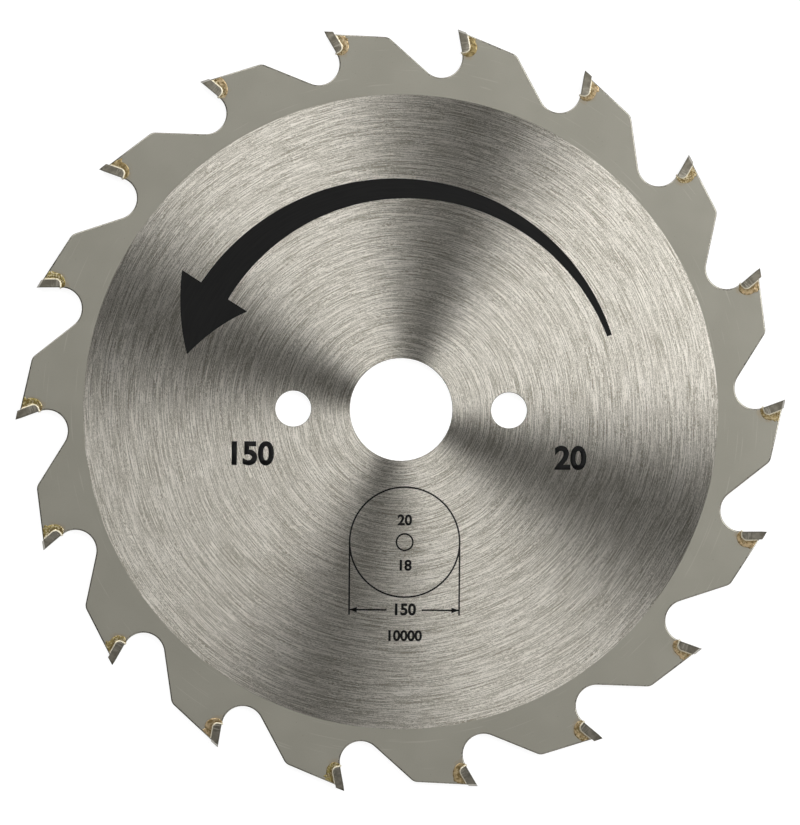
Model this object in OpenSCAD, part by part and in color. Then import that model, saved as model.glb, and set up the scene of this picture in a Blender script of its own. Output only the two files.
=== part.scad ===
// Circular saw blade: a flat steel plate with a carbide tip brazed into a seat at the front of each tooth.
// The blade lies flat with its axis along +Z and the middle of its arbor bore at the origin.
// Seen from above it turns anticlockwise, and the line through its drive pin holes is the X axis.
// Sizes are in millimetres and angles in degrees.

/* [Blade] */
// Diameter of the circle that the cutting edges sweep
blade_d = 150; // [130:1:190]
// Number of teeth, even because the top bevels alternate
tooth_count = 18; // [12:2:24]
// Thickness of the steel plate
plate_t = 1.6; // [1.2:0.1:2]
// Diameter of the arbor bore
bore_d = 20; // [10:0.1:30]

/* [Drive pin holes] */
// Number of pin holes
pin_count = 2; // [1:1:4]
// Diameter of the circle that the pin holes lie on
pin_circle_d = 42; // [40:0.5:60]
// Diameter of one pin hole
pin_hole_d = 7; // [4:0.1:9]

/* [Teeth] */
// Angle from the line of the pin holes to the first cutting edge
tooth_lead = 2; // [0:0.1:15]
// Angle that each tooth's face leans forward of a radius
hook_angle = 18.7; // [10:0.1:25]
// Depth from the cutting edges to the bottom of a gullet
gullet_depth = 10; // [8.5:0.1:12]
// Radius of the rounded bottom of a gullet
gullet_r = 4.05; // [3:0.05:5]
// Slope of the tooth back that rises out of a gullet
back_angle = 33.5; // [28:0.5:40]
// Slope of the land that falls away behind a tip
land_angle = 14.4; // [10:0.1:18]
// Radial step from a cutting edge down to the line of the land
land_drop = 0.4; // [0.1:0.01:0.6]
// Radius of the corner where the land meets the tooth back
hump_r = 2; // [0.3:0.1:3]

/* [Carbide tips] */
// Width of the cut that the tips make
kerf = 2.4; // [2.2:0.05:3.2]
// Thickness of a tip, square to its face
tip_t = 1.5; // [1.1:0.05:2]
// Length of a tip along its face
tip_l = 4.8; // [4:0.1:6]
// Radius of a tip's rounded inner corner
tip_corner_r = 0.9; // [0.3:0.05:1]
// Distance that a tip's face stands ahead of the gullet's front wall, or behind it if less than 0
face_proud = -0.08; // [-0.2:0.01:0.3]
// Angle that the top of a tip falls away behind its edge
top_clearance = 12; // [8:0.5:20]
// Sideways bevel of a tip's top, which changes side from tooth to tooth
top_bevel = 15; // [5:0.5:20]
// Angle that a tip narrows towards the blade's axis, on each side
radial_relief = 1; // [0:0.1:1.5]
// Angle that a tip narrows behind its face, on each side
rear_relief = 2; // [0:0.1:3]

/* [Braze] */
// Thickness of the filler between a tip and its seat
braze_gap = 0.1; // [0.05:0.01:0.2]
// Width of the filler's bead on the faces of the plate
bead_w = 1.3; // [0.5:0.05:1.5]
// Share of a tip's overhang beyond the plate that the bead climbs
bead_climb = 0.85; // [0.3:0.05:1]
// Share of the bead's slope that its hollow surface gives up where it meets the plate
bead_hollow = 0.5; // [0.2:0.05:0.8]
// Radius of the drop of filler at the foot of a tip
drop_r = 0.24; // [0.12:0.02:0.5]

/* [Hidden] */
$fn = 120;
// Facets of the wide circle that hollows a bead, of which only a short arc is used
hollow_facets = 8 * $fn;
tip_r = blade_d / 2;
root_r = tip_r - gullet_depth;
pitch = 360 / tooth_count;
// Length by which a cutting shape passes the surface that it cuts
clear = 4;
// Small angle at which the plate's arcs meet the straight edges beside them
graze = 3;

plate_colour = [0.60, 0.58, 0.54];
tip_colour = [0.40, 0.39, 0.36];
braze_colour = [0.74, 0.60, 0.33];

function two_digits(i) = i < 10 ? str("0", i) : str(i);
function tip_name(i) = str("tip_", two_digits(i));
function braze_name(i) = str("braze_", two_digits(i));

// Unit vector at an angle from +X
function heading(angle) = [cos(angle), sin(angle)];
// Point p turned about the origin
function turned(p, angle) = [
    p.x * cos(angle) - p.y * sin(angle),
    p.x * sin(angle) + p.y * cos(angle)
];
// Point where the ray from p along unit vector d leaves the circle of radius r about the origin
function on_circle(p, d, r) = p + d * (sqrt(pow(p * d, 2) - p * p + r * r) - p * d);
// Point where the line through p along d meets the line through q along e
function meeting(p, d, q, e) = p + d * cross(q - p, e) / cross(d, e);

// Tooth frame: X runs outward through the cutting edge, and Y runs ahead as the blade turns
edge = [tip_r, 0];
face_out = heading(hook_angle);
face_ahead = heading(hook_angle + 90);

// The gullet's circle runs into the front wall and the next tooth's back, and its bottom lies at root_r
wall = edge - face_ahead * face_proud;
gullet_side = gullet_r * cos(graze);
gullet_start = wall + face_ahead * gullet_side;
gullet_c = let (m = gullet_start * face_out, r = root_r + gullet_r)
    gullet_start - face_out * (m - sqrt(m * m - gullet_start * gullet_start + r * r));
wall_foot = gullet_c - face_ahead * gullet_side;
back_up = heading(90 - back_angle);
back_foot = gullet_c + gullet_side * heading(180 - back_angle);

// The land runs back from the tip to the hump, where it meets the back that rises from the gullet behind
land_start = edge - [land_drop, 0];
land_back = heading(270 - land_angle);
land_out = heading(-land_angle);
hump_down = -turned(back_up, -pitch);
hump = meeting(land_start, land_back, turned(back_foot, -pitch), hump_down);
hump_half = acos(-land_back * hump_down) / 2;
hump_side = hump_r * cos(graze);
hump_c = hump + hump_side * (hump_down - land_back) / norm(hump_down - land_back) / sin(hump_half);

// The bead climbs the part of the overhang that the tip still has at its narrow inner end
tip_narrowing = tip_l * tan(radial_relief) + tip_t * tan(rear_relief);
bead_h = bead_climb * ((kerf - plate_t) / 2 - tip_narrowing);

// Puts a shape drawn in the tooth frame at tooth i
module at_tooth(i) {
    rotate(tooth_lead + (i - 1) * pitch) children();
}

// Puts a shape in the tooth frame that is drawn with X out along a tip's face and Y square to it, ahead
module at_face() {
    translate(edge) rotate(hook_angle) children();
}

// Outline of a tip, or of the seat around it when it is grown by a gap
module tip_outline(gap, above, ahead) {
    corner = tip_corner_r + gap;
    translate([-tip_l - gap, -tip_t - gap]) difference() {
        square([tip_l + gap + above, tip_t + gap + ahead]);
        difference() {
            square(corner);
            translate([corner, corner]) circle(corner);
        }
    }
}

// Open space ahead of a tooth: a round bottom between the front wall and the next tooth's back
module gullet_outline() {
    circle_out = tip_r + clear;
    translate(gullet_c) circle(gullet_r);
    polygon([
        gullet_c,
        wall_foot,
        on_circle(wall_foot, face_out, circle_out),
        on_circle(back_foot, back_up, circle_out),
        back_foot
    ]);
}

// Everything outside the line of the land, from ahead of the tip to past the hump
module land_cut() {
    ahead = land_start - land_back * gullet_r;
    behind = hump + land_back * clear;
    rise = land_out * 2 * clear;
    polygon([ahead, behind, behind + rise, ahead + rise]);
}

// The sharp corner outside the hump's rounding
module hump_cut() {
    back_out = [-hump_down.y, hump_down.x];
    reach = 2 * hump_r;
    difference() {
        polygon([
            hump_c,
            hump_c + land_out * reach,
            hump + (land_out + back_out) * reach,
            hump_c + back_out * reach
        ]);
        translate(hump_c) circle(hump_r);
    }
}

module blade_outline() {
    difference() {
        circle(tip_r);
        for (i = [1:tooth_count]) at_tooth(i) {
            gullet_outline();
            land_cut();
            hump_cut();
            at_face() tip_outline(braze_gap, clear, gullet_r);
        }
    }
}

module blade_plate() {
    cut_h = plate_t + 2 * clear;
    color(plate_colour) difference() {
        linear_extrude(plate_t, center = true) blade_outline();
        cylinder(h = cut_h, d = bore_d, center = true);
        for (i = [0:pin_count - 1]) rotate(i * 360 / pin_count)
            translate([pin_circle_d / 2, 0]) cylinder(h = cut_h, d = pin_hole_d, center = true);
    }
}

// Block that grinds a tip's top, with its lower face through the high corner of the cutting edge
module top_grind(high_side) {
    block = 2 * tip_l;
    translate([tip_r, 0, high_side * kerf / 2]) rotate(-top_clearance)
        rotate([0, high_side * top_bevel, 0]) translate([0, -block / 2, -block / 2]) cube(block);
}

// Block that grinds the upper side of a tip, drawn with X out along the tip's face
module side_grind() {
    block = 4 * tip_l;
    translate([0, 0, kerf / 2]) rotate([rear_relief, -radial_relief, 0])
        translate([-block / 2, -block / 2]) cube(block);
}

// Odd teeth stand high on the lower side and even teeth on the upper side
module carbide_tip(i) {
    high_side = i % 2 == 0 ? 1 : -1;
    stock = clear / 4;
    color(tip_colour) at_tooth(i) difference() {
        at_face() difference() {
            linear_extrude(kerf + 2 * stock, center = true) tip_outline(0, stock, 0);
            side_grind();
            mirror([0, 0, 1]) side_grind();
        }
        top_grind(high_side);
    }
}

// Section of the bead: X away from the tip, Y up from the face of the plate, with a hollow slope
module bead_section() {
    half_arc = bead_hollow * atan(bead_h / bead_w);
    hollow_r = norm([bead_w, bead_h]) / 2 / sin(half_arc);
    hollow_c = [bead_w, bead_h] / 2 + [bead_h, bead_w] / 2 / tan(half_arc);
    difference() {
        square([bead_w + braze_gap, bead_h + braze_gap]);
        translate(hollow_c) circle(hollow_r, $fn = hollow_facets);
    }
}

// Bead that runs down the back of a tip, round its inner corner and under it to the front wall
module bead() {
    turn = [-tip_l + tip_corner_r, -tip_t + tip_corner_r];
    translate([turn.x, -tip_t]) rotate([90, 0, 90]) linear_extrude(tip_l) mirror([1, 0]) bead_section();
    translate(turn) rotate(180) rotate_extrude(angle = 90) translate([tip_corner_r, 0]) bead_section();
    translate([-tip_l, -face_proud]) rotate([90, 0, 0])
        linear_extrude(-face_proud - turn.y) mirror([1, 0]) bead_section();
}

// Drop of filler at the foot of a tip
module drop_outline() {
    at_face() translate([-tip_l, -face_proud]) circle(drop_r);
}

// Filler between a tip and its seat, which runs into the part of the drop that stands in the gullet
module braze_layer() {
    difference() {
        union() {
            difference() {
                at_face() tip_outline(braze_gap, 0, gullet_r);
                difference() {
                    gullet_outline();
                    drop_outline();
                }
            }
            intersection() {
                gullet_outline();
                drop_outline();
            }
        }
        at_face() tip_outline(0, clear, gullet_r);
    }
}

module braze(i) {
    color(braze_colour) at_tooth(i) difference() {
        union() {
            linear_extrude(plate_t, center = true) braze_layer();
            at_face() {
                translate([0, 0, plate_t / 2]) bead();
                mirror([0, 0, 1]) translate([0, 0, plate_t / 2]) bead();
            }
        }
        linear_extrude(kerf, center = true) land_cut();
    }
}

blade_plate();
for (i = [1:tooth_count]) {
    carbide_tip(i);
    braze(i);
}
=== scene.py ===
"""A circular saw blade with brazed carbide tips, lying on a pale floor and seen from straight above."""
import math

import bmesh
import bpy
from mathutils import Matrix, Vector, noise


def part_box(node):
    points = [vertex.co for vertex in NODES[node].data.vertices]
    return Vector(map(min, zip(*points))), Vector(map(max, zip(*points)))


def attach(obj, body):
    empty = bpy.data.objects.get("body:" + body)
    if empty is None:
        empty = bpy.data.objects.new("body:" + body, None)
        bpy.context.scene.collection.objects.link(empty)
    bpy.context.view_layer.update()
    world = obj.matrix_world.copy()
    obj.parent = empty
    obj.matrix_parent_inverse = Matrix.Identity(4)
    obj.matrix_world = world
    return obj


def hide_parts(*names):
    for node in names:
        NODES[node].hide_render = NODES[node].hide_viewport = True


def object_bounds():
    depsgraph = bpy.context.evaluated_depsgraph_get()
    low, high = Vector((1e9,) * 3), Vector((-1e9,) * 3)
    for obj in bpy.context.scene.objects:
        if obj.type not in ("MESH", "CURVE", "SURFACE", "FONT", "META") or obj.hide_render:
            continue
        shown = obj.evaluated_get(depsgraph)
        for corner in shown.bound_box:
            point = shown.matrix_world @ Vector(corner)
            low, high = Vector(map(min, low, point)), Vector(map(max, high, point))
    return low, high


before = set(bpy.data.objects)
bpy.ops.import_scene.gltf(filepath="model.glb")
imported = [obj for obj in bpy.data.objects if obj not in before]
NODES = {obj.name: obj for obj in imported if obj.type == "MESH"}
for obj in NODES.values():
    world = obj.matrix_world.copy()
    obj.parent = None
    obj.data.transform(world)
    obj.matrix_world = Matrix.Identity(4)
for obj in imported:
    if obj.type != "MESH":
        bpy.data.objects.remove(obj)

# Sizes are in metres, as in the frame
MM = 0.001
CAD_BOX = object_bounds()
FLOOR_Z = CAD_BOX[0].z
PLATE_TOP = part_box("blade_plate")[1].z
TOOTH_COUNT = sum(name.startswith("tip_") for name in NODES)
PITCH = 2 * math.pi / TOOTH_COUNT
FIRST_EDGE = max((v.co for v in NODES["tip_01"].data.vertices), key=lambda p: p.xy.length)
TIP_R = FIRST_EDGE.xy.length
TOOTH_LEAD = math.atan2(FIRST_EDGE.y, FIRST_EDGE.x)

# Tip and seat, as the solids have them
HOOK = math.radians(18.7)
TIP_L = 4.8 * MM
TIP_T = 1.5 * MM
TIP_CORNER_R = 0.9 * MM
FACE_PROUD = -0.08 * MM
LAND_DROP = 0.4 * MM
LAND_ANGLE = math.radians(14.4)

# Finish of plate and tips: the ground disc lies a little off the axis
EDGE_R = 0.24 * MM
HOLE_EDGE_R = 0.08 * MM
EDGE_STEPS = 5
EDGE_HOLD = 0.04 * MM
TIP_EDGE = 0.04 * MM
DISC_R = 61.75 * MM
DISC_CENTRE = Vector((-0.09, -0.475)) * MM
DISC_STEPS = 256
WELD = 1e-7

# Filler: its film is widest behind the tip and narrows on the way round to the foot
GAP = 0.1 * MM
BEAD_W = 1.3 * MM
BEAD_H = 0.22 * MM
FILLET_W = 0.34 * MM
FILM_T = 0.03 * MM
WIDEST, NARROWING, NARROWS_FROM = 1.35, 0.95, 0.35
NARROWING_POWER, COLUMN_POWER, FILM_END_POWER, FILLET_POWER = 1.5, 1.6, 6, 2
DROP_R = 0.24 * MM
SINK = 0.03 * MM
BACK_STEPS, CORNER_STEPS, FOOT_STEPS = 26, 9, 8
PATH_STEPS = BACK_STEPS + CORNER_STEPS + FOOT_STEPS
BEAD_STEPS = 12

# Print: the font's size and boldness are shares of a figure's height
INK_T = 0.012 * MM
INK_SINK = INK_T / 4
LINE_W = 0.32 * MM
FONT_SIZE, FONT_BOLD = 1.4, 0.05

# Camera, from the photograph
PHOTO_HEIGHT = 825
PIXELS_PER_MM = 5.135
FRAME_HEIGHT = PHOTO_HEIGHT / PIXELS_PER_MM * MM
CAMERA_HEIGHT = 650 * MM
CAMERA_SHIFT = Vector((-0.213, -0.59)) * MM
CAMERA_ROLL = math.radians(0.48)
SENSOR = 36
CLIP = (0.01, 50)

# Floor and sky: the sky's strength falls between two heights above the horizon
FLOOR_R = 12
FLOOR_GREY = 0.25
FLOOR_GLOW = 0.9
SKY = {"From Min": 0.1, "From Max": 0.5, "To Min": 0.25, "To Max": 0.03}

# Lamps: name, azimuth and elevation in degrees, distance, width and height, radiance
LAMPS = (
    ("key", 28, 48, 0.95, (0.74, 0.6), 4.6),
    ("second", 120, 48, 1.5, (0.82, 0.95), 3.4),
    ("third", 288, 48, 1.5, (0.9, 0.95), 1.1),
    ("overhead", 30, 86, 1.0, (0.8, 0.8), 0.15),
)


def new_object(name, bm, *materials):
    """Makes an object of a finished bmesh, with the given materials."""
    mesh = bpy.data.meshes.new(name)
    bm.normal_update()
    bm.to_mesh(mesh)
    bm.free()
    for material in materials:
        mesh.materials.append(material)
    obj = bpy.data.objects.new(name, mesh)
    bpy.context.scene.collection.objects.link(obj)
    return obj


def smooth_out(bm):
    """Turns all faces outwards and shades them smooth."""
    bmesh.ops.recalc_face_normals(bm, faces=bm.faces)
    for face in bm.faces:
        face.smooth = True


class Tree:
    """A new material with one Principled shader, and short calls that add nodes to it."""

    def __init__(self, name):
        self.material = bpy.data.materials.new(name)
        self.material.use_nodes = True
        self.nodes = self.material.node_tree.nodes
        self.links = self.material.node_tree.links
        self.shader = self.nodes["Principled BSDF"]

    def feed(self, socket, value):
        """Links another node's output to a socket, or gives the socket a plain value."""
        if isinstance(value, bpy.types.NodeSocket):
            self.links.new(value, socket)
        else:
            socket.default_value = value

    def add(self, kind, inputs=(), output=0, **settings):
        """Adds a node, fills its inputs and gives one of its outputs."""
        node = self.nodes.new(kind)
        for key, value in settings.items():
            setattr(node, key, value)
        for key, value in dict(inputs).items():
            self.feed(node.inputs[key], value)
        return node.outputs[output]

    def set(self, **inputs):
        """Fills the shader's inputs, named with underscores for spaces."""
        for key, value in inputs.items():
            self.feed(self.shader.inputs[key.replace("_", " ")], value)

    def math(self, operation, *values):
        return self.add("ShaderNodeMath", enumerate(values), operation=operation)

    def vector(self, operation, *values):
        return self.add("ShaderNodeVectorMath", enumerate(values), operation=operation)

    def length(self, value):
        return self.add("ShaderNodeVectorMath", {0: value}, "Value", operation="LENGTH")

    def scaled(self, value, factor):
        return self.add("ShaderNodeVectorMath", {0: value, "Scale": factor}, operation="SCALE")

    def turned(self, value, angle):
        """Vector turned about Z."""
        inputs = {"Vector": value, "Axis": (0, 0, 1), "Angle": angle}
        return self.add("ShaderNodeVectorRotate", inputs, rotation_type="AXIS_ANGLE")

    def parts(self, value):
        node = self.nodes.new("ShaderNodeSeparateXYZ")
        self.links.new(value, node.inputs[0])
        return node.outputs

    def joined(self, x, y, z):
        return self.add("ShaderNodeCombineXYZ", enumerate((x, y, z)))

    def noise(self, place, scale=1.0, detail=2.0, rough=0.5):
        """Noise from 0 to 1, with so many features a millimetre as scale says."""
        inputs = {"Vector": place, "Scale": scale, "Detail": detail, "Roughness": rough}
        return self.add("ShaderNodeTexNoise", inputs, "Fac")

    def ramp(self, value, start, end, low=0.0, high=1.0):
        """Smooth change from low to high as value goes from start to end."""
        inputs = {"Value": value, "From Min": start, "From Max": end, "To Min": low, "To Max": high}
        return self.add("ShaderNodeMapRange", inputs, interpolation_type="SMOOTHSTEP")

    def mix(self, share, a, b):
        """Colour a, changed to b by a share from 0 to 1."""
        node = self.nodes.new("ShaderNodeMix")
        node.data_type = "RGBA"
        # The node's colour sockets have names in common with others, so they are found by place
        for socket, value in zip((node.inputs[0], node.inputs[6], node.inputs[7]), (share, a, b)):
            self.feed(socket, value)
        return node.outputs[2]

    def bump(self, height, strength, distance):
        return self.add("ShaderNodeBump", {"Height": height, "Strength": strength, "Distance": distance})

    def place(self):
        """Position in the frame, in millimetres."""
        return self.scaled(self.add("ShaderNodeTexCoord", output="Object"), 1 / MM)


def colour(r, g, b):
    """Linear colour of an sRGB colour given from 0 to 255."""
    def linear(c):
        c /= 255
        return c / 12.92 if c <= 0.04045 else ((c + 0.055) / 1.055) ** 2.4
    return (linear(r), linear(g), linear(b), 1.0)


def polar(t, place):
    """Distance from the ground disc's centre in millimetres, and the unit vector from it."""
    x, y, _ = t.parts(place)
    centre = DISC_CENTRE / MM
    arm = t.joined(t.math("SUBTRACT", x, centre.x), t.math("SUBTRACT", y, centre.y), 0.0)
    return t.length(arm), t.vector("NORMALIZE", arm)


def drifting(t, radius, arm, seed):
    """Radius that drifts in and out around the circle, so that streaks drawn with it cross other ones."""
    drift = t.noise(t.vector("ADD", t.scaled(arm, 1.8), (seed, 0, 0)), detail=1.0)
    return t.math("MULTIPLY", radius, t.math("MULTIPLY_ADD", drift, 0.06, 1.0))


def streaks(t, place, radius, along, across):
    """Noise drawn out along circles, with so many features a millimetre along and across them."""
    x, y, _ = t.parts(t.scaled(place, along))
    return t.noise(t.joined(x, y, t.math("MULTIPLY", radius, across)), detail=0.0)


def brushed_steel():
    """Steel ground in circles: two sets of lines that take turns, grain, and painted glints as a few bright
    dashes along the circles.
    """
    t = Tree("brushed_steel")
    place = t.place()
    radius, arm = polar(t, place)
    one_way, other_way = (drifting(t, radius, arm, seed) for seed in (3.0, 17.0))
    long_lines = t.math("SUBTRACT", streaks(t, place, one_way, along=0.12, across=7.5), 0.5)
    lines = t.math("SUBTRACT", streaks(t, place, other_way, along=0.2, across=8.7), 0.5)
    turns = streaks(t, place, radius, along=1.8, across=4.4)
    drawn = t.math("ADD", t.math("MULTIPLY", long_lines, t.ramp(turns, 0.35, 0.65, low=0.2, high=1.8)),
                   t.math("MULTIPLY", lines, t.ramp(turns, 0.35, 0.65, low=1.8, high=0.2)))
    grain = t.noise(place, 6.0, detail=0.0)
    # Painted glints: a few short bright dashes along the circles, added to the steel's colour
    scratch_and_glint = t.ramp(streaks(t, place, other_way, along=0.28, across=5.2), 0.66, 0.74, high=0.26)
    mixed = t.math("MULTIPLY_ADD", grain, 0.5, t.math("MULTIPLY_ADD", drawn, 0.55, 0.24))
    mixed = t.math("ADD", scratch_and_glint, mixed)
    steel = t.mix(t.ramp(mixed, 0.25, 0.75), colour(158, 153, 139), colour(239, 234, 224))
    turn = t.math("MULTIPLY", t.math("SUBTRACT", long_lines, lines), 0.1)
    t.set(Base_Color=steel, Metallic=1.0, Roughness=t.ramp(mixed, 0.35, 0.65, low=0.36, high=0.32),
          Anisotropic=1.0, Tangent=t.turned(arm, turn),
          Normal=t.bump(mixed, strength=0.1, distance=0.004 * MM))
    return t.material


def tooth_place(t, place):
    """Place in the nearest tip's own frame, in millimetres, and that tooth's number."""
    x, y, _ = t.parts(place)
    radius = t.length(t.joined(x, y, 0.0))
    turns = t.math("DIVIDE", t.math("SUBTRACT", t.math("ARCTAN2", y, x), TOOTH_LEAD), PITCH)
    tooth = t.math("ROUND", turns)
    angle = t.math("MULTIPLY", t.math("SUBTRACT", turns, tooth), PITCH)
    out = t.math("SUBTRACT", t.math("MULTIPLY", radius, t.math("COSINE", angle)), TIP_R / MM)
    ahead = t.math("MULTIPLY", radius, t.math("SINE", angle))
    return t.turned(t.joined(out, ahead, 0.0), -HOOK), tooth


def per_tooth(t, tooth, spread, start=0.0):
    """Value that is the same all over a tooth and differs from one to the next."""
    return t.noise(t.joined(t.math("MULTIPLY", tooth, spread), start, 0.0))


def seat_distance(t, local):
    """Distance in millimetres from the back and the foot of a tip with its rounded corner."""
    corner = TIP_CORNER_R / MM
    low, high = Vector((-TIP_L / MM, -TIP_T / MM, 0)), Vector((corner, corner, 0))
    middle = (low + high) / 2
    half = high - middle - Vector((corner, corner, 0))
    past = t.vector("SUBTRACT", t.vector("ABSOLUTE", t.vector("SUBTRACT", local, middle)), half)
    return t.math("SUBTRACT", t.length(t.vector("MAXIMUM", past, (0, 0, 0))), corner)


def rim_steel():
    """Satin steel outside the ground disc, with specks, light scratches and heat colour round each tip."""
    t = Tree("rim_steel")
    place = t.place()
    radius, _ = polar(t, place)
    grain = t.noise(place, 5.0, detail=3.0, rough=0.7)
    cloud = t.noise(place, 0.12)
    steel = t.mix(t.ramp(cloud, 0.3, 0.7), colour(168, 165, 152), colour(173, 170, 157))
    steel = t.mix(t.ramp(grain, 0.4, 0.7, high=0.2), steel, colour(186, 183, 172))
    speck = t.ramp(t.noise(place, 2.6), 0.72, 0.76, high=0.4)
    steel = t.mix(speck, steel, colour(118, 115, 104))
    scratch_and_glint = t.ramp(streaks(t, place, radius, along=0.1, across=4.0), 0.74, 0.80, high=0.3)
    steel = t.mix(scratch_and_glint, steel, colour(206, 203, 192))
    local, _ = tooth_place(t, place)
    reach = t.math("MULTIPLY_ADD", t.noise(place, 0.9), 2.0, seat_distance(t, local))
    steel = t.mix(t.ramp(reach, 3.0, 2.0, high=0.4), steel, colour(170, 150, 118))
    t.set(Base_Color=steel, Metallic=0.5, Roughness=t.ramp(grain, 0.3, 0.7, low=0.32, high=0.36),
          Normal=t.bump(grain, strength=0.08, distance=0.01 * MM))
    return t.material


def cut_edge():
    """Steel of the rounded edges and of the walls of the bores."""
    t = Tree("cut_edge")
    lines = t.noise(t.vector("MULTIPLY", t.place(), (2.0, 2.0, 0.4)))
    steel = t.mix(t.ramp(lines, 0.35, 0.65), colour(148, 145, 135), colour(160, 157, 146))
    t.set(Base_Color=steel, Metallic=1.0, Roughness=t.ramp(lines, 0.3, 0.7, low=0.26, high=0.34),
          Normal=t.bump(lines, strength=0.05, distance=0.01 * MM))
    return t.material


def carbide():
    """Grey carbide, with ground lines near the foot and painted shade: a dark band along the cutting edges.
    """
    t = Tree("carbide")
    local, tooth = tooth_place(t, t.place())
    x, y, _ = t.parts(local)
    own = t.joined(x, y, tooth)
    lines = t.noise(t.vector("MULTIPLY", own, (4.5, 0.5, 7.3)))
    cloud = t.noise(t.vector("MULTIPLY", own, (1.0, 1.0, 5.1)), 0.8)
    grey = t.mix(t.ramp(cloud, 0.35, 0.65), colour(126, 121, 108), colour(152, 147, 134))
    near_foot = t.ramp(x, -2.0, -4.2)
    grey = t.mix(t.math("MULTIPLY", t.ramp(lines, 0.5, 0.62), near_foot), grey, colour(176, 171, 158))
    # Painted shade: the colour darkens in a band along the tip's face and along its top
    edge = t.math("MAXIMUM", t.ramp(y, -0.22, -0.06, high=0.7), t.ramp(x, -0.75, -0.35, high=0.7))
    grey = t.mix(edge, grey, colour(84, 82, 70))
    t.set(Base_Color=grey, Metallic=1.0, Roughness=t.ramp(lines, 0.3, 0.7, low=0.36, high=0.44),
          Normal=t.bump(lines, strength=0.25, distance=0.02 * MM))
    return t.material


def filler_metal():
    """Filler: a mottled film, with hue and speckle of its own at each tooth and painted shade where it nears
    the tip, and a painted highlight: a pale band right along the tip.
    """
    t = Tree("filler_metal")
    place = t.place()
    local, tooth = tooth_place(t, place)
    distance = seat_distance(t, local)
    lumps = t.noise(place, 1.3)
    grain = t.noise(place, 3.2, detail=1.0)
    hue = t.ramp(per_tooth(t, tooth, 3.7), 0.42, 0.58)
    film = t.mix(hue, colour(164, 148, 88), colour(202, 176, 136))
    film = t.mix(t.ramp(lumps, 0.45, 0.6, high=0.8), film, colour(122, 102, 60))
    # Painted shade: the film darkens as it nears the tip
    film = t.mix(t.ramp(distance, 0.95, 0.4, high=0.6), film, colour(108, 90, 50))
    speckle = t.ramp(per_tooth(t, tooth, 5.3, start=3.0), 0.4, 0.6, low=0.15, high=0.8)
    film = t.mix(t.math("MULTIPLY", t.ramp(grain, 0.52, 0.62), speckle), film, colour(240, 226, 186))
    # Painted highlight: a near-white band along the tip, barely metallic and smoother than the film
    fillet_highlight = t.ramp(t.math("MULTIPLY_ADD", grain, 0.16, distance), 0.36, 0.22)
    gold = t.mix(fillet_highlight, film, colour(250, 242, 218))
    t.set(Base_Color=gold, Metallic=t.ramp(fillet_highlight, 0.0, 1.0, low=0.7, high=0.1),
          Roughness=t.ramp(fillet_highlight, 0.0, 1.0, low=0.36, high=0.25),
          Normal=t.bump(grain, strength=0.15, distance=0.05 * MM))
    return t.material


def black_ink():
    """Dull black ink, a little uneven along the brushed lines."""
    t = Tree("black_ink")
    place = t.place()
    radius, _ = polar(t, place)
    lines = streaks(t, place, radius, along=0.2, across=5.0)
    black = t.mix(t.ramp(lines, 0.35, 0.7), colour(8, 8, 8), colour(18, 18, 17))
    t.set(Base_Color=black, Roughness=t.ramp(lines, 0.3, 0.7, low=0.55, high=0.65),
          Specular_IOR_Level=0.2, Normal=t.bump(lines, strength=0.1, distance=0.01 * MM))
    return t.material


def plate_loops():
    """The edges of the CAD plate's upper face as loops of points, each with the steel on its left."""
    bm = bmesh.new()
    bm.from_mesh(NODES["blade_plate"].data)
    bmesh.ops.remove_doubles(bm, verts=bm.verts, dist=WELD)
    cap = {f for f in bm.faces if min(v.co.z for v in f.verts) > PLATE_TOP - WELD}
    follower = {}
    for corner in (corner for face in cap for corner in face.loops):
        if sum(face in cap for face in corner.edge.link_faces) == 1:
            follower[corner.vert] = corner.link_loop_next.vert
    loops = []
    while follower:
        vert = next(iter(follower))
        loop = []
        while vert in follower:
            loop.append(vert.co.xy.copy())
            vert = follower.pop(vert)
        loops.append(loop)
    bm.free()
    return sorted(loops, key=lambda loop: -max(p.length for p in loop))


def moved_in(loop, distance):
    """The loop's points, moved into the steel by a distance square to both edges beside each."""
    moved = []
    for before, point, after in zip(loop[-1:] + loop[:-1], loop, loop[1:] + loop[:1]):
        sides = [Vector((-d.y, d.x)).normalized() for d in (point - before, after - point)]
        moved.append(point + (sides[0] + sides[1]) * distance / (1 + sides[0].dot(sides[1])))
    return moved


def edge_section(radius):
    """Section of a rounded edge from the lower face to the upper one, as pairs of inset and height."""
    turns = [math.pi / 2 * step / EDGE_STEPS for step in range(EDGE_STEPS + 1)]
    upper = [(radius * (1 - math.cos(a)), PLATE_TOP - radius * (1 - math.sin(a))) for a in turns]
    upper.append((radius + EDGE_HOLD, PLATE_TOP))
    return [(inset, -z) for inset, z in reversed(upper)] + upper


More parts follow.
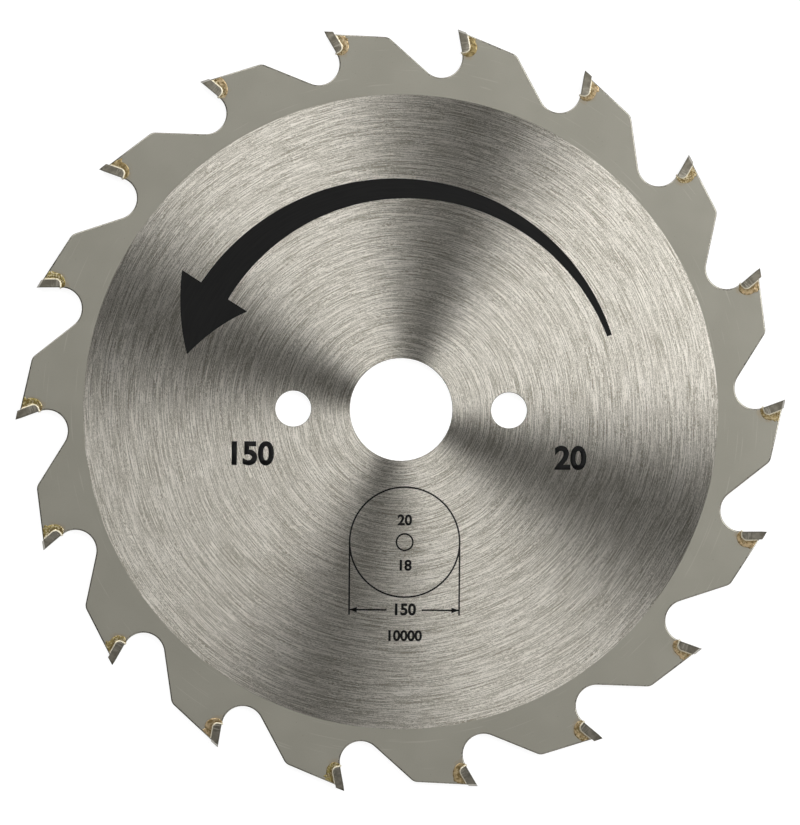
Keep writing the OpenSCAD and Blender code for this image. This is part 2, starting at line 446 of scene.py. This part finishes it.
def blade_plate(rim, brushed, cut):
    """The plate with its edges rounded off, ground in a disc on both faces."""
    materials = (rim, brushed, cut)
    bm = bmesh.new()
    holds = {-1: [], 1: []}
    for index, loop in enumerate(plate_loops()):
        section = edge_section(HOLE_EDGE_R if index else EDGE_R)
        rings = [[bm.verts.new((*p, z)) for p in moved_in(loop, inset)] for inset, z in section]
        for low, high in zip(rings, rings[1:]):
            for i in range(len(loop)):
                face = bm.faces.new((low[i - 1], low[i], high[i], high[i - 1]))
                face.material_index = materials.index(cut)
        holds[-1].append(rings[0])
        holds[1].append(rings[-1])
    for side, (outer, *holes) in holds.items():
        angles = [2 * math.pi * i / DISC_STEPS for i in range(DISC_STEPS)]
        disc = [bm.verts.new((DISC_CENTRE.x + DISC_R * math.cos(a), DISC_CENTRE.y + DISC_R * math.sin(a),
                              side * PLATE_TOP)) for a in angles]
        for i in range(DISC_STEPS):
            bm.edges.new((disc[i - 1], disc[i]))
        for material, bounds in ((rim, [outer, disc]), (brushed, [disc, *holes])):
            edges = [bm.edges.get((ring[i - 1], ring[i])) for ring in bounds for i in range(len(ring))]
            filled = bmesh.ops.triangle_fill(bm, use_beauty=True, use_dissolve=False, edges=edges)
            for face in (f for f in filled["geom"] if isinstance(f, bmesh.types.BMFace)):
                face.material_index = materials.index(material)
    smooth_out(bm)
    plate = new_object("plate", bm, *materials)
    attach(plate, "root")
    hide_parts("blade_plate")


def tooth_matrix(i):
    """From a tip's own frame, X out along its face and Y ahead, to the blade."""
    turn = Matrix.Rotation(TOOTH_LEAD + (i - 1) * PITCH, 4, "Z")
    return turn @ Matrix.Translation((TIP_R, 0, 0)) @ Matrix.Rotation(HOOK, 4, "Z")


def land_x(y):
    """Where the line of the land lies at a distance y ahead, in a tip's own frame."""
    start = Matrix.Rotation(-HOOK, 2) @ Vector((-LAND_DROP, 0))
    back = math.radians(270) - LAND_ANGLE - HOOK
    return start.x + (y - start.y) / math.tan(back)


def seat_path(step, offset, short=0.0):
    """Point at an offset from the tip, going down its back, round its corner and along its foot.

    The path starts at the line of the land, or short of it by a distance.
    """
    turn = Vector((TIP_CORNER_R - TIP_L, TIP_CORNER_R - TIP_T))
    if step <= BACK_STEPS:
        y = -TIP_T - offset
        top = land_x(y) - short
        return Vector((top + (turn.x - top) * step / BACK_STEPS, y))
    step -= BACK_STEPS
    if step <= CORNER_STEPS:
        a = math.radians(270 - 90 * step / CORNER_STEPS)
        return turn + (TIP_CORNER_R + offset) * Vector((math.cos(a), math.sin(a)))
    step -= CORNER_STEPS
    return Vector((-TIP_L - offset, turn.y + (-FACE_PROUD - turn.y) * step / FOOT_STEPS))


def closed_grid(bm, top, bottom):
    """Closed shell between two grids of points with the same rows."""
    grids = [[[bm.verts.new(p) for p in row] for row in grid] for grid in (top, bottom)]
    rows, columns = len(top), len(top[0])
    for grid in grids:
        for i in range(1, rows):
            for j in range(1, columns):
                bm.faces.new((grid[i - 1][j - 1], grid[i][j - 1], grid[i][j], grid[i - 1][j]))
    border = [(i, 0) for i in range(rows)]
    border += [(rows - 1, j) for j in range(1, columns)]
    border += [(i, columns - 1) for i in range(rows - 2, -1, -1)]
    border += [(0, j) for j in range(columns - 2, 0, -1)]
    for (a, b), (c, d) in zip(border, border[1:] + border[:1]):
        bm.faces.new((grids[0][a][b], grids[0][c][d], grids[1][c][d], grids[1][a][b]))


def uneven(share, *place):
    """Factor that varies about 1 from place to place, by the given share at most."""
    return 1 + share * noise.noise(place)


def bead(bm, side, seed):
    """Fillet of filler that climbs the tip, with a thin film beyond it on the face of the plate."""
    top, bottom = [], []
    for step in range(PATH_STEPS + 1):
        along = step / PATH_STEPS
        narrowed = max(0.0, (along - NARROWS_FROM) / (1 - NARROWS_FROM)) ** NARROWING_POWER
        wide = BEAD_W * (WIDEST - NARROWING * narrowed) * uneven(0.35, along * 4, seed, side * 3.0)
        high = BEAD_H * uneven(0.3, along * 5, seed + 40, side * 3.0)
        top_row, bottom_row = [], []
        for column in range(BEAD_STEPS + 1):
            share = (column / BEAD_STEPS) ** COLUMN_POWER
            film = FILM_T * (1 - share ** FILM_END_POWER)
            film *= uneven(1, along * 9, share * 4 + seed, side * 5.0)
            climb = (high - FILM_T) * max(0.0, 1 - wide * share / FILLET_W) ** FILLET_POWER
            p = seat_path(step, wide * share, EDGE_R)
            top_row.append((p.x, p.y, side * (PLATE_TOP + climb + film)))
            bottom_row.append((p.x, p.y, side * (PLATE_TOP - SINK)))
        top.append(top_row)
        bottom.append(bottom_row)
    closed_grid(bm, top, bottom)


def layer(bm):
    """Thin layer between the tip and its seat."""
    rows = [[seat_path(step, offset) for offset in (0, GAP)] for step in range(PATH_STEPS + 1)]
    top, bottom = ([[(p.x, p.y, z) for p in row] for row in rows] for z in (PLATE_TOP, -PLATE_TOP))
    closed_grid(bm, top, bottom)


def drop(bm, seed):
    """Drop at the foot of the tip, standing into the gullet."""
    for v in bmesh.ops.create_icosphere(bm, subdivisions=3, radius=1.0)["verts"]:
        swell = uneven(0.25, *(v.co * 1.3 + Vector((seed, 0, 0))))
        v.co = Vector((v.co.x * DROP_R, v.co.y * DROP_R, v.co.z * PLATE_TOP)) * swell
        v.co += Vector((-TIP_L, -FACE_PROUD, 0))


def braze(i, material):
    """One tooth's filler: a bead on both faces, the layer in the gap and the drop."""
    bm = bmesh.new()
    for side in (-1, 1):
        bead(bm, side, seed=i * 7.3)
    layer(bm)
    drop(bm, seed=i * 3.1)
    bmesh.ops.transform(bm, matrix=tooth_matrix(i), verts=bm.verts)
    smooth_out(bm)
    filler = new_object(f"filler_{i:02d}", bm, material)
    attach(filler, "root")
    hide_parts(f"braze_{i:02d}")


def tip(i, material):
    """The CAD tip, with its edges just broken."""
    node = NODES[f"tip_{i:02d}"]
    node.data.materials.clear()
    node.data.materials.append(material)
    weld = node.modifiers.new("weld", "WELD")
    weld.merge_threshold = WELD
    edge = node.modifiers.new("edge", "BEVEL")
    edge.width = TIP_EDGE
    edge.segments = 2
    edge.limit_method = "ANGLE"
    edge.harden_normals = True


def ink_object(name, bm, material):
    """Lays a flat drawing on the plate's upper face as a thin film of ink."""
    raised = bmesh.ops.extrude_face_region(bm, geom=list(bm.faces))["geom"]
    bmesh.ops.translate(bm, vec=(0, 0, INK_T), verts=[v for v in raised if isinstance(v, bmesh.types.BMVert)])
    bmesh.ops.translate(bm, vec=(0, 0, PLATE_TOP - INK_SINK), verts=bm.verts)
    bmesh.ops.recalc_face_normals(bm, faces=bm.faces)
    ink = new_object(name, bm, material)
    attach(ink, "root")


def band(bm, centre, radius, angles, halves, steps):
    """Band along a circle between two angles, whose half width changes evenly from the first to the last."""
    rows = []
    for step in range(steps + 1):
        a, half = (first + (last - first) * step / steps for first, last in (angles, halves))
        arm = Vector((math.cos(a), math.sin(a)))
        rows.append([bm.verts.new((*(centre + arm * r), 0)) for r in (radius - half, radius + half)])
    for (a, b), (c, d) in zip(rows, rows[1:]):
        bm.faces.new((a, b, d, c))


def polygon(bm, *points):
    """Flat face through the points."""
    bm.faces.new([bm.verts.new((*p, 0)) for p in points])


def bar(bm, a, b, width):
    """Straight line of ink from a to b."""
    side = (b - a).normalized().orthogonal() * width / 2
    polygon(bm, a - side, b - side, b + side, a + side)


def number(bm, text, centre, height):
    """Adds plain figures, centred on a point."""
    curve = bpy.data.curves.new("figures", "FONT")
    curve.body = text
    curve.align_x = "CENTER"
    curve.align_y = "CENTER"
    curve.size = FONT_SIZE * height
    curve.offset = FONT_BOLD * height
    obj = bpy.data.objects.new("figures", curve)
    bpy.context.scene.collection.objects.link(obj)
    mesh = bpy.data.meshes.new_from_object(obj.evaluated_get(bpy.context.evaluated_depsgraph_get()))
    mesh.transform(Matrix.Translation((*centre, 0)))
    bm.from_mesh(mesh)
    bpy.data.objects.remove(obj)


def turning_arrow(material):
    """Bold arrow that shows the way the blade turns."""
    bm = bmesh.new()
    axis, radius = Vector((0, 0)), 43 * MM
    tail, neck, point = (math.radians(angle) for angle in (20, 148, 166))
    tail_half, neck_half, head_half, point_half = (half * MM for half in (0.5, 3.1, 7.51, 0.01))
    band(bm, axis, radius, (tail, neck), (tail_half, neck_half), steps=96)
    band(bm, axis, radius, (neck, point), (head_half, point_half), steps=24)
    ink_object("print_arrow", bm, material)


def size_drawing(material):
    """Drawing of the blade's diameter and bore, with plain figures."""
    bm = bmesh.new()
    centre = Vector((0.9, -25.8)) * MM
    radius, bore = 10.7 * MM, 1.6 * MM
    for r in (radius, bore):
        band(bm, centre, r, (0, 2 * math.pi), (LINE_W / 2, LINE_W / 2), steps=72)
    middle = centre - Vector((0, 13.2)) * MM
    gap, overrun = 3.4 * MM, 1 * MM
    barb_l, barb_w = 1.5 * MM, 0.55 * MM
    small_h, middle_h, large_h = 2.0 * MM, 2.2 * MM, 4.4 * MM
    for side in (-1, 1):
        end = middle + Vector((side * radius, 0))
        bar(bm, end, middle + Vector((side * gap, 0)), LINE_W)
        bar(bm, Vector((end.x, centre.y - overrun)), Vector((end.x, middle.y - overrun)), LINE_W)
        polygon(bm, end, *(end + Vector((-side * barb_l, w)) for w in (barb_w, -barb_w)))
    number(bm, "150", middle, middle_h)
    for text, above in (("20", 4.2), ("18", -4.6), ("10000", -18.3)):
        number(bm, text, centre + Vector((0, above)) * MM, small_h)
    for text, place in (("150", (-29.3, -9.0)), ("20", (33.0, -9.4))):
        number(bm, text, Vector(place) * MM, large_h)
    ink_object("print_sizes", bm, material)


def floor():
    """Pale floor: seen directly or in a reflection it is white, and it keeps the blade's shadow."""
    t = Tree("floor")
    path = t.nodes.new("ShaderNodeLightPath").outputs
    seen = t.math("MAXIMUM", path["Is Camera Ray"], path["Is Glossy Ray"])
    seen = t.math("MAXIMUM", seen, path["Is Transmission Ray"])
    t.set(Base_Color=(FLOOR_GREY, FLOOR_GREY, FLOOR_GREY, 1.0), Roughness=0.9, Specular_IOR_Level=0.0,
          Emission_Color=(1, 1, 1, 1), Emission_Strength=t.math("MULTIPLY", seen, FLOOR_GLOW))
    bm = bmesh.new()
    bmesh.ops.create_circle(bm, cap_ends=True, segments=96, radius=FLOOR_R)
    bmesh.ops.translate(bm, vec=(0, 0, FLOOR_Z), verts=bm.verts)
    new_object("floor", bm, t.material)


def softbox(name, azimuth, elevation, distance, size, radiance):
    """Rectangular lamp that faces the blade."""
    light = bpy.data.lights.new(name, "AREA")
    light.shape = "RECTANGLE"
    light.size, light.size_y = size
    light.energy = radiance * math.pi * size[0] * size[1]
    obj = bpy.data.objects.new(name, light)
    a, e = math.radians(azimuth), math.radians(elevation)
    arm = Vector((math.cos(a) * math.cos(e), math.sin(a) * math.cos(e), math.sin(e)))
    obj.location = arm * distance
    obj.rotation_mode = "QUATERNION"
    obj.rotation_quaternion = arm.to_track_quat("Z", "Y")
    bpy.context.scene.collection.objects.link(obj)


def studio():
    """Dim sky that is lighter near the horizon, and the lamps."""
    world = bpy.data.worlds.new("studio")
    world.use_nodes = True
    nodes, links = world.node_tree.nodes, world.node_tree.links
    height = nodes.new("ShaderNodeSeparateXYZ")
    links.new(nodes.new("ShaderNodeTexCoord").outputs["Generated"], height.inputs[0])
    level = nodes.new("ShaderNodeMapRange")
    for key, value in SKY.items():
        level.inputs[key].default_value = value
    links.new(height.outputs["Z"], level.inputs["Value"])
    links.new(level.outputs[0], nodes["Background"].inputs["Strength"])
    nodes["Background"].inputs["Color"].default_value = (1.0, 1.0, 1.0, 1.0)
    bpy.context.scene.world = world
    for lamp in LAMPS:
        softbox(*lamp)


def camera():
    """Camera straight above, framed as the photograph is."""
    data = bpy.data.cameras.new("camera")
    data.sensor_fit = "VERTICAL"
    data.sensor_width = data.sensor_height = SENSOR
    data.lens = SENSOR * CAMERA_HEIGHT / FRAME_HEIGHT
    data.clip_start, data.clip_end = CLIP
    obj = bpy.data.objects.new("camera", data)
    obj.location = (*CAMERA_SHIFT, CAMERA_HEIGHT)
    obj.rotation_euler = (0, 0, CAMERA_ROLL)
    bpy.context.scene.collection.objects.link(obj)
    bpy.context.scene.camera = obj


blade_plate(rim_steel(), brushed_steel(), cut_edge())
carbide_material, filler_material, ink_material = carbide(), filler_metal(), black_ink()
for i in range(1, TOOTH_COUNT + 1):
    tip(i, carbide_material)
    braze(i, filler_material)
turning_arrow(ink_material)
size_drawing(ink_material)
floor()
studio()
camera()
bpy.context.scene.view_settings.view_transform = "Standard"
